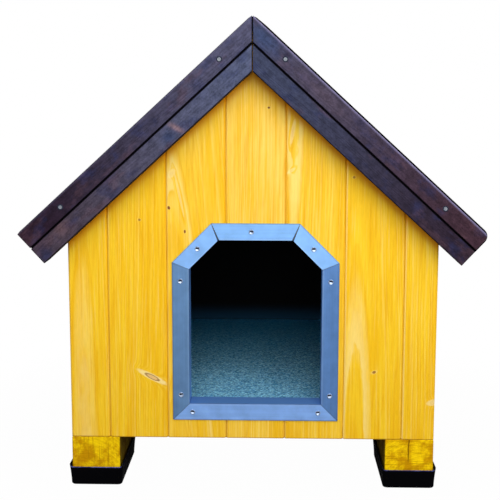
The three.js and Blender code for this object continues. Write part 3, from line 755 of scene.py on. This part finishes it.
def bright_angle(name, tint, along):
    """Mill-finish aluminium: lines along the length, small dents, painted shade at the outer edges and in
    the open mitres, dark seams in the tight mitres, and a painted highlight along the inner bend.

    The flange inside the wall is dulled by an oxide film; its blue tint is painted reflection.
    """
    made, graph, shader, place = material(name, specular=0.3)
    lines = graph.noise(place, tuple(12 if a else 1400 for a in along), detail=2.0, roughness=0.6)
    blotch = graph.noise(place, (42, 42, 42), detail=5.0, roughness=0.65)
    edges = graph.group(DOORWAY, Position=place)
    streaks = graph.noise(place, tuple(5 if a else 230 for a in along), detail=3.0, roughness=0.6)
    shade = graph.add(graph.spread(lines, 0.93, 1.03), graph.spread(blotch, -0.20, 0.20))
    colour = graph.shade(tint, graph.add(shade, graph.spread(streaks, -0.16, 0.16)))
    ripple = graph.spread(graph.noise(place, (90, 90, 90), detail=3.0), 0.0, 0.6 * MM)
    # Painted shade along the outer edge.
    rim = graph.smooth(edges["Inset"], 2.2 * MM, 0.6 * MM)
    colour = graph.cover(colour, ANGLE_RIM_SHADE, rim, 0.45)
    # Painted highlight along the inner bend.
    inner = graph.times(graph.smooth(edges["Inset"], ANGLE_FACE - 4 * MM, ANGLE_FACE - 2 * MM), 0.12)
    colour = graph.mix(inner, colour, ANGLE_BEND_HIGHLIGHT)
    # Oxide film on the flange, its blue tint painted reflection.
    flange = graph.smooth(graph.less(graph.split(place)[1], DOOR_FACE), 2.2 * MM, 4 * MM)
    colour = graph.cover(colour, ANGLE_OXIDE_AND_REFLECTION, flange, 0.9)
    graph.feed(shader.inputs["Metallic"], graph.spread(flange, 0.72, 0.40))
    wedge = graph.add(graph.times(edges["Inset"], 0.035), 0.2 * MM, ripple)
    # Painted shade in the open mitres' gaps; the tight mitres get dark seams.
    shade_paint = graph.smooth(graph.math("DIVIDE", edges["Open Mitre"], wedge), 1.5, 0.7)
    seam = graph.smooth(edges["Tight Mitre"], 1.1 * MM, 0.4 * MM)
    colour = graph.mix(graph.add(graph.times(shade_paint, 0.9), graph.times(seam, 0.3)), colour, ANGLE_GAP_SHADE_AND_SEAM)
    relief = graph.add(lines, blotch)
    paint(graph, shader, colour, graph.spread(blotch, 0.32, 0.52), relief, 0.06 * MM)
    return made


def mineral_felt():
    """Black roofing felt covered with crushed mineral, bare along its cut ends."""
    made, graph, shader, place = material("mineral_felt", roughness=0.92, specular=0.04)
    grains = graph.group(SPECKLE, Position=place, Grain=1.6 * MM, Seed=2.0)
    dust = graph.smooth(grains["Patch"], 0.35, 0.7)
    colour = graph.mix(graph.smooth(grains["Tone"], 0.3, 1.0), MINERAL_DARK, MINERAL_LIGHT)
    colour = graph.cover(colour, MINERAL_DUST, dust, 0.35)
    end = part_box("roof_felt")[1].y
    cut = graph.smooth(graph.absolute(graph.split(place)[1]), end - 8 * MM, end - 5 * MM)
    colour = graph.mix(cut, colour, BITUMEN)
    paint(graph, shader, colour, relief=grains["Height"], depth=0.6 * MM)
    return made


def teal_carpet():
    """Needle-felt carpet: short tangled fibres of two teals, with painted shade: a bluer teal away from
    the doorway.
    """
    made, graph, shader, place = material("teal_carpet", roughness=0.95, specular=0.05)
    grains = graph.group(SPECKLE, Position=place, Grain=3.0 * MM, Seed=9.0)
    tangle = graph.noise(place, (240, 240, 240), detail=4.0, roughness=0.75)
    colour = graph.mix(graph.smooth(grains["Tone"], 0.15, 0.9), TEAL, TEAL_PALE)
    colour = graph.mix(graph.smooth(tangle, 0.58, 0.34), colour, TEAL_DEEP)
    # Painted shade: away from the doorway the teal turns bluer and more saturated.
    near_door = graph.smooth(graph.split(place)[1], 0.38, -0.16)
    colour = graph.mix(near_door, graph.mix(0.7, colour, TEAL_PAINTED_SHADE), colour)
    paint(graph, shader, colour, relief=tangle, depth=1.6 * MM)
    return made


def black_shoe():
    """Moulded black plastic with a fine grain."""
    made, graph, shader, place = material("black_shoe", specular=0.03)
    grains = graph.group(SPECKLE, Position=place, Grain=1.1 * MM, Seed=4.0)
    colour = graph.mix(graph.times(grains["Patch"], 0.8), SHOE_BLACK, SHOE_PATCH)
    roughness = graph.spread(grains["Patch"], 0.38, 0.6)
    paint(graph, shader, colour, roughness, grains["Height"], 0.08 * MM)
    return made


def lip_highlight():
    """The shoe's rim, with a painted greyish-blue highlight where it is low, at the shoe's ends."""
    made, graph, shader, place = material("lip_highlight", roughness=0.6, specular=0.1)
    # Painted highlight on the lip.
    highlight_patch = graph.noise(place, (60, 60, 60), detail=3.0, roughness=0.6)
    colour = graph.mix(graph.smooth(highlight_patch, 0.35, 0.65), LIP_HIGHLIGHT_DEEP, LIP_HIGHLIGHT_PALE)
    low_rim = graph.smooth(graph.split(place)[2], SHOE_END + 1.2 * MM, SHOE_END + 0.4 * MM)
    paint(graph, shader, graph.mix(low_rim, LIP_DARK, colour))
    return made


def screw_steel(name, tint, dullness):
    """Zinc-plated steel, dull in patches."""
    made, graph, shader, place = material(name, metallic=0.9 - 0.5 * dullness)
    patch = graph.noise(place, (500, 500, 500), detail=3.0)
    colour = graph.mix(graph.smooth(patch, 0.4, 0.7), tint, DULL_ZINC)
    roughness = graph.spread(patch, 0.25 + 0.3 * dullness, 0.5 + 0.3 * dullness)
    paint(graph, shader, colour, roughness)
    return made


def recess_shade_paint():
    """Painted shade in the recess of a screw and round its head."""
    made, graph, shader, place = material("recess_shade_paint", roughness=0.8, specular=0.1)
    patch = graph.noise(place, (900, 900, 900), detail=2.0)
    paint(graph, shader, graph.mix(patch, RECESS_SHADE_DARK, RECESS_SHADE_LIGHT))
    return made


# ---- Surfaces ------------------------------------------------------------------------------------------


def add_object(name, data):
    """A new object in the scene."""
    thing = bpy.data.objects.new(name, data)
    bpy.context.scene.collection.objects.link(thing)
    return thing


def quads_between(index, after):
    """Four-cornered faces between neighbouring rows, each point joined to the one after it."""
    return np.stack([index[:-1], index[1:], after[1:], after[:-1]], axis=-1)


def thicken(thing, thickness):
    """Gives a sheet its thickness, below its upper face."""
    solid = thing.modifiers.new("thickness", "SOLIDIFY")
    solid.thickness = thickness
    solid.offset = -1


def surface(name, points, made, body, round_v=False, caps=False):
    """A piece from a grid of points in rows of u and columns of v; it faces the side of u cross v.

    round_v joins the last column to the first. caps fills the first and the last row by fans.
    """
    rows, columns = points.shape[:2]
    index = np.arange(rows * columns).reshape(rows, columns)
    after = np.roll(index, -1, axis=1)
    quads = quads_between(index, after)
    if not round_v:
        quads = quads[:, :-1]
    faces = quads.reshape(-1, 4).tolist()
    vertices = points.reshape(-1, 3)
    if caps:
        first, last = len(vertices), len(vertices) + 1
        vertices = np.vstack([vertices, points[0].mean(axis=0), points[-1].mean(axis=0)])
        faces += [[int(a), int(b), first] for a, b in zip(index[0], after[0])]
        faces += [[int(b), int(a), last] for a, b in zip(index[-1], after[-1])]
    mesh = bpy.data.meshes.new(name)
    mesh.from_pydata(vertices.tolist(), [], faces)
    mesh.materials.append(made)
    return piece(name, mesh, body)


def piece(name, mesh, body):
    """A mesh as a piece of the object that rides on a body."""
    mesh.update()
    mesh.shade_smooth()
    thing = add_object(name, mesh)
    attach(thing, body)
    return thing


# ---- Carpet --------------------------------------------------------------------------------------------


def make_carpet(made):
    """The carpet's upper face is a sheet at the pile's height, plus waves a millimetre high at most.

    It lies flat on the floor panel, with edges rolled down over its thickness.
    """
    low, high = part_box("carpet")
    across, along = np.meshgrid(np.linspace(0, 1, 90), np.linspace(0, 1, 104), indexing="ij")
    x = low.x + (high.x - low.x) * across
    y = low.y + (high.y - low.y) * along
    wave = np.sin(31 * across + 2) * np.sin(27 * along) + 0.6 * np.sin(71 * across + 40 * along)
    edge = np.minimum(np.minimum(across, 1 - across), np.minimum(along, 1 - along))
    rolled = 1.6 * MM * np.exp(-edge / 0.006)
    z = high.z - 0.5 * MM + 0.25 * MM * wave - rolled
    carpet = surface("carpet_felt", np.stack([x, y, z], axis=-1), made, "house")
    thicken(carpet, 2.8 * MM)
    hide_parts("carpet")


# ---- Roof felt -----------------------------------------------------------------------------------------


def slope_point(sign, down, out):
    """X and Z of a point on the left slope (sign -1) or the right one (1)."""
    return (sign * (down * math.cos(PITCH) + out * math.sin(PITCH)),
            APEX - down * math.sin(PITCH) + out * math.cos(PITCH))


def felt_path(side):
    """The felt's upper face on one slope, from the ridge bend to the lower end of its flap.

    Arc about the ridge's bend centre, straight down the slope, arc over the eave, straight down.
    Returned as distances down the slope and out of it, with unit normals.
    """
    drop = (RIDGE_RADIUS - FELT_RISE) / math.cos(PITCH)
    ridge_down, ridge_out = drop * math.sin(PITCH), FELT_RISE - RIDGE_RADIUS
    radius = EAVE_RADIUS[side]
    end = SLOPE + CLEARANCE + FELT_THICKNESS
    turn = np.linspace(math.pi / 2 + PITCH, math.pi / 2, 7)
    arc_down, arc_out = RIDGE_RADIUS * np.cos(turn), RIDGE_RADIUS * np.sin(turn)
    ridge = np.stack([ridge_down + arc_down, ridge_out + arc_out], axis=1)
    straight = np.linspace(ridge_down, end - radius, 60)[1:-1]
    slope = np.stack([straight, np.full_like(straight, FELT_RISE)], axis=1)
    bend = np.linspace(math.pi / 2, 0, 8)
    bend_out = FELT_RISE - radius
    eave = np.stack([end - radius + radius * np.cos(bend), bend_out + radius * np.sin(bend)], axis=1)
    flap_end = -LATH_WIDTH - SHADOW_GAP
    fall = np.linspace(bend_out, flap_end, 7)[1:]
    flap = np.stack([np.full_like(fall, end), fall], axis=1)
    path = np.vstack([ridge, slope, eave, flap])
    step = np.gradient(path, axis=0)
    step /= np.linalg.norm(step, axis=1, keepdims=True)
    return path, np.stack([-step[:, 1], step[:, 0]], axis=1)


def make_felt(made):
    """One sheet over both slopes, lifted off the deck by slow waves up to a millimetre high.

    Its front end curls up a little along the right slope.
    """
    paths = []
    for side, sign in (("left", -1), ("right", 1)):
        path, normal = felt_path(side)
        x, z = slope_point(sign, path[:, 0], path[:, 1])
        normal_x = sign * (normal[:, 0] * math.cos(PITCH) + normal[:, 1] * math.sin(PITCH))
        normal_z = -normal[:, 0] * math.sin(PITCH) + normal[:, 1] * math.cos(PITCH)
        curl = 1.8 * MM * np.clip(path[:, 0] / (30 * MM), 0, 1)
        rows = np.stack([x, z, normal_x, normal_z, curl * (side == "right")], axis=1)
        paths.append(rows[::-1] if side == "left" else rows[1:])
    rows = np.vstack(paths)
    low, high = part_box("roof_felt")
    y = np.linspace(low.y, high.y, 72)
    run = np.concatenate([[0], np.cumsum(np.hypot(*np.diff(rows[:, :2], axis=0).T))])
    down, along = np.meshgrid(run, y, indexing="ij")
    wave = (np.sin(13 * down + 4 * np.sin(5 * along)) * np.sin(9 * along + 1.3)
            + 0.5 * np.sin(41 * down + 3) * np.sin(33 * along))
    inside = np.clip(np.minimum(run - run[0], run[-1] - run) / (40 * MM), 0, 1)[:, None]
    from_gable = np.clip(np.minimum(y - low.y, high.y - y) / (60 * MM), 0, 1)
    lift = 0.45 * MM * (wave + 1.2) * inside * from_gable
    lift += rows[:, None, 4] * np.clip(1 - (y - low.y) / (70 * MM), 0, 1) ** 2
    x = rows[:, None, 0] + rows[:, None, 2] * lift
    z = rows[:, None, 1] + rows[:, None, 3] * lift
    felt = surface("felt_sheet", np.stack([x, along, z], axis=-1), made, "roof")
    thicken(felt, FELT_THICKNESS)
    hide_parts("roof_felt")


# ---- Shoes ---------------------------------------------------------------------------------------------


def make_shoe(name, made, lip_made):
    """A flared cup as rings of rounded rectangles: down the inside, over the rim, down the wall, under.

    A ring is a rectangle with corners of one radius; its rim climbs from the ends to the long sides.
    """
    low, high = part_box(name)
    middle_x, middle_y = (low.x + high.x) / 2, (low.y + high.y) / 2
    flare, wall, sole = 3 * MM, 2.5 * MM, 4 * MM
    half_x, half_y = (high.x - low.x) / 2 - flare - wall, (high.y - low.y) / 2 - flare - wall
    rims = (SHOE_END, high.z)
    turn = np.linspace(0, math.pi / 2, 9)
    corner = np.repeat(np.arange(4), len(turn))
    angle = np.tile(turn, 4) + corner * math.pi / 2
    sign_x = np.array([1, -1, -1, 1])[corner]
    sign_y = np.array([1, 1, -1, -1])[corner]
    climb = np.cos(angle) ** 2

    def ring(grow, radius, end_height, side_height):
        x = middle_x + sign_x * (half_x + grow - radius) + radius * np.cos(angle)
        y = middle_y + sign_y * (half_y + grow - radius) + radius * np.sin(angle)
        return np.stack([x, y, end_height + (side_height - end_height) * climb], axis=1)

    rings = [ring(0.0, 1.5 * MM, 3 * MM, 3 * MM), ring(0.0, 1.5 * MM, 18 * MM, 18 * MM)]
    lip = 1.2 * MM
    lip_start, lip_steps = len(rings), 6
    for a in np.linspace(math.pi, 0, lip_steps + 1)[:-1]:  # the rounded lip
        grow = flare + wall - lip + lip * math.cos(a)
        rings.append(ring(grow, 5.5 * MM, *[rim - lip + lip * math.sin(a) for rim in rims]))
    for share in np.linspace(1, 0, 7):
        rise = [sole + (rim - lip - sole) * share for rim in rims]
        rings.append(ring(wall + flare * share ** 1.4, 7 * MM, *rise))
    for a in np.linspace(0, -math.pi / 2, 6)[1:]:  # a quarter round between the wall and the sole
        rings.append(ring(wall - sole + sole * math.cos(a), 7 * MM, *[sole * (1 + math.sin(a))] * 2))
    shoe = surface(name + "_cup", np.array(rings), made, "house", round_v=True, caps=True)
    shoe.data.materials.append(lip_made)
    columns = len(angle)
    for polygon in shoe.data.polygons[lip_start * columns:(lip_start + lip_steps) * columns]:
        polygon.material_index = 1
    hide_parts(name)


# ---- Screws --------------------------------------------------------------------------------------------


def head_rings(radius, rim, dish, recess):
    """A screw head on its own axis: rings from the middle of its dished top over the rim to its edge.

    Height falls from the rim to the dish, and again into the slot across it.
    """
    # Each ring's share of the radius, and its height: dish, slope, rim, and the edge sunk in the wood.
    shares = np.array([0.02, 0.12, 0.22, 0.32, 0.42, 0.52, 0.62, 0.74, 0.86, 0.94, 1.0, 0.96])
    heights = np.array([dish] * 5 + [dish + (rim - dish) * s for s in (0.2, 0.5, 0.8, 1.0, 0.75)]
                       + [0.0, -0.5 * MM])
    turn = np.linspace(0, 2 * math.pi, 41)[:-1]
    wide, around = np.meshgrid(shares * radius, turn, indexing="ij")
    right, up = wide * np.cos(around), wide * np.sin(around)
    height = np.repeat(heights[:, None], len(turn), axis=1)
    height[in_slot(right, up, radius)] = recess
    return np.stack([right, up, height], axis=-1)


def in_slot(right, up, radius):
    """Whether a point of a screw head lies in its slot, which was cut a little off the middle."""
    return (np.abs(right) < 0.68 * radius) & (np.abs(up - 0.14 * radius) < 0.33 * radius)


def make_heads(name, places, facing, body, head, turns, steel, shade_paint, shaded):
    """Several like heads as one piece: each is turned about its axis and carried to its place.

    facing is the side along Y that they look to; the last argument says which points of a head get painted
    shade.
    """
    vertices, faces, in_shade = [], [], []
    rings, count = head.shape[:2]
    shaded_faces = (shaded[:-1] & shaded[1:] & np.roll(shaded, -1, axis=1)[:-1]).ravel().tolist()
    for number, ((x, y, z), turn) in enumerate(zip(places, turns)):
        c, s = math.cos(turn), math.sin(turn)
        flat = head.reshape(-1, 3)
        right, up, out = c * flat[:, 0] - s * flat[:, 1], s * flat[:, 0] + c * flat[:, 1], flat[:, 2]
        vertices.append(np.stack([x - facing * right, y + facing * out, z + up], axis=1))
        index = number * rings * count + np.arange(rings * count).reshape(rings, count)
        after = np.roll(index, -1, axis=1)
        faces += quads_between(index, after).reshape(-1, 4).tolist()
        faces += [index[0].tolist(), index[-1][::-1].tolist()]
        in_shade += shaded_faces + [bool(shaded[0].all()), False]
    mesh = bpy.data.meshes.new(name)
    mesh.from_pydata(np.vstack(vertices).tolist(), [], faces)
    mesh.materials.append(steel)
    mesh.materials.append(shade_paint)
    mesh.polygons.foreach_set("material_index", np.array(in_shade, int))
    return piece(name, mesh, body)


def make_door_screws(steel, shade_paint):
    """Nine screws along the middle of the angles' faces: two in each side and in the sill, and one in
    each diagonal and in the head.
    """
    inset = ANGLE_FACE / 2
    heights = (184 * MM, 407 * MM)  # in the sides
    sill_offset = 121 * MM
    head_offset = -8 * MM
    slant = math.sqrt(0.5)
    diagonal = DOOR_HALF - DOOR_CHAMFER / 2 - inset * slant
    diagonal_height = DOOR_TOP - DOOR_CHAMFER / 2 - inset * slant
    spots = [(head_offset, DOOR_TOP - inset)]
    for sign in (-1, 1):
        spots.append((sign * diagonal, diagonal_height))
        spots += [(sign * (DOOR_HALF - inset), height) for height in heights]
        spots.append((sign * sill_offset, DOOR_BOTTOM + inset))
    places = [(DOOR_CENTRE + x, DOOR_FACE, z) for x, z in spots]
    radius = 5.0 * MM
    head = head_rings(radius, 1.7 * MM, 0.9 * MM, 0.2 * MM)
    # The slot gets painted shade.
    shaded = in_slot(head[..., 0], head[..., 1], radius)
    turns = np.random.default_rng(3).uniform(-0.25, 0.25, len(places))
    make_heads("door_screws", places, -1, "house", head, turns, steel, shade_paint, shaded)


def make_lath_screws(steel, shade_paint):
    """Two screws in each lath at both gables, with painted shade round each head's edge."""
    downs = (97 * MM, 496 * MM)
    radius = 5.4 * MM
    head = head_rings(radius, 0.4 * MM, 0.3 * MM, 0.1 * MM)
    # Painted shade round the head's edge.
    shaded = np.hypot(head[..., 0], head[..., 1]) > 0.58 * radius
    for gable, facing in (("front", -1), ("back", 1)):
        places = []
        for sign in (-1, 1):
            for down in downs:
                x, z = slope_point(sign, down, -LATH_WIDTH / 2)
                places.append((x, facing * GABLE_FACE, z))
        turns = np.random.default_rng(5).uniform(0, math.pi, len(places))
        make_heads(gable + "_lath_screws", places, facing, "roof", head, turns, steel, shade_paint, shaded)


# ---- Stage ---------------------------------------------------------------------------------------------


def make_floor():
    """A pale floor that fades to white away from the house."""
    reach = 12.0  # from the middle to each edge
    mesh = bpy.data.meshes.new("floor")
    corners = [(-reach, -reach, 0), (reach, -reach, 0), (reach, reach, 0), (-reach, reach, 0)]
    mesh.from_pydata(corners, [], [(0, 1, 2, 3)])
    floor = add_object("floor", mesh)
    pale, graph, shader, place = material("pale_floor", roughness=0.9, specular=0.0)
    shader.inputs["Base Color"].default_value = (0.28, 0.28, 0.29, 1)
    seen = graph.node("ShaderNodeLightPath").outputs["Is Camera Ray"]
    glow = graph.node("ShaderNodeEmission", {"Color": (1, 1, 1, 1), "Strength": 1.0}).outputs[0]
    away = graph.node("ShaderNodeVectorMath", {0: place}, operation="LENGTH").outputs["Value"]
    share = graph.times(seen, graph.spread(graph.smooth(away, 0.45, 0.9), 0.985, 1.0))
    both = graph.node("ShaderNodeMixShader", {0: share, 1: shader.outputs[0], 2: glow}).outputs[0]
    graph.feed(pale.node_tree.nodes["Material Output"].inputs["Surface"], both)
    mesh.materials.append(pale)


def make_surround():
    """A white surround that shows and mirrors as white but lights the house more softly."""
    world = bpy.data.worlds.new("surround")
    bpy.context.scene.world = world
    world.use_nodes = True
    graph = Graph(world.node_tree)
    background = world.node_tree.nodes["Background"]
    background.inputs["Color"].default_value = (1, 1, 1, 1)
    path = graph.node("ShaderNodeLightPath").outputs
    shown = graph.math("MAXIMUM", path["Is Camera Ray"], path["Is Glossy Ray"])
    shown = graph.math("MAXIMUM", shown, path["Is Transmission Ray"])
    graph.feed(background.inputs["Strength"], graph.spread(shown, 0.52, 1.0))


def make_lamps():
    """A broad soft lamp in front and above, a weak one low in front, and more at the sides and behind."""
    aim = Vector((0, 0, 0.45))  # half way up the house

    def lamp(name, place, width, power):
        light = bpy.data.lights.new(name, "AREA")
        light.shape = "SQUARE"
        light.size = width
        light.energy = power
        thing = add_object(name, light)
        thing.location = place
        toward = aim - thing.location
        thing.rotation_mode = "QUATERNION"
        thing.rotation_quaternion = toward.to_track_quat("-Z", "Y")

    lamp("high_front", (0.4, -2.1, 1.75), 2.0, 44)
    lamp("low_front", (0.1, -3.0, 1.0), 1.4, 7)
    lamp("left_side", (-3.0, -0.2, 1.9), 1.8, 18)
    lamp("right_side", (3.0, -0.2, 1.9), 1.8, 22)
    lamp("behind", (0, 3.2, 2.4), 2.0, 40)


def make_camera():
    """The photograph's view: heading, tilt and roll in degrees, focal length in pixels of its frame."""
    frame_width = 500
    focal, horizon_row = 966.6, 225.0
    stand = (0.0399, -2.2078, 0.7533)
    pitch, heading, roll = (math.radians(a) for a in (7.504, -1.412, 0.096))
    forward = np.array([math.sin(heading) * math.cos(pitch), math.cos(heading) * math.cos(pitch),
                        -math.sin(pitch)])
    level = np.array([math.cos(heading), -math.sin(heading), 0.0])
    up = np.cross(level, forward)
    right = level * math.cos(roll) + up * math.sin(roll)
    top = -level * math.sin(roll) + up * math.cos(roll)
    lens = bpy.data.cameras.new("camera")
    lens.sensor_width = 36
    lens.lens = focal / frame_width * lens.sensor_width
    lens.shift_y = (horizon_row - frame_width / 2) / frame_width
    camera = add_object("camera", lens)
    columns = np.column_stack([right, top, -forward])
    turn = Matrix([list(row) for row in columns]).to_4x4()
    camera.matrix_world = Matrix.Translation(stand) @ turn
    bpy.context.scene.camera = camera


# ---- Assembly ------------------------------------------------------------------------------------------

make_camera()
make_floor()
make_surround()
make_lamps()
bpy.context.scene.view_settings.view_transform = "Standard"

dress_walls()
for number, name in enumerate(sorted(n for n in nodes if n.endswith(("_lath", "_rafter")))):
    dress(name, walnut_stain(name, number + 1))
spruce, ply, timber = plain_spruce(), film_ply(), sawn_foot()
for name in ("left_deck", "right_deck", "floor_panel"):
    dress(name, spruce)
for wall in WALLS:
    dress(wall + "_inner_panel", ply)
for name in (n for n in nodes if n.endswith("_foot")):
    dress(name, timber)

# Painted light: each angle tinted the blue of a reflected sky, the sides darker and the head, diagonals
# and sill lighter.
ANGLE_PAINTED_LIGHT_TINTS = {
    "head": (srgb(133, 183, 240), (1, 0, 0)),
    "upper_left": (srgb(136, 184, 242), (1, 0, 1)),
    "upper_right": (srgb(140, 190, 248), (1, 0, 1)),
    "left": (srgb(104, 143, 188), (0, 0, 1)),
    "right": (srgb(96, 138, 196), (0, 0, 1)),
    "sill": (srgb(142, 186, 250), (1, 0, 0)),
}
for part, (tint, along) in ANGLE_PAINTED_LIGHT_TINTS.items():
    dress("door_angle_" + part, bright_angle("angle_" + part, tint, along))

make_carpet(teal_carpet())
make_felt(mineral_felt())
shoe_plastic, shoe_lip = black_shoe(), lip_highlight()
for name in sorted(n for n in nodes if n.endswith("_shoe")):
    make_shoe(name, shoe_plastic, shoe_lip)
shade_paint = recess_shade_paint()
make_door_screws(screw_steel("door_screw_steel", DOOR_STEEL, 0.0), shade_paint)
make_lath_screws(screw_steel("lath_screw_steel", LATH_STEEL, 1.0), shade_paint)
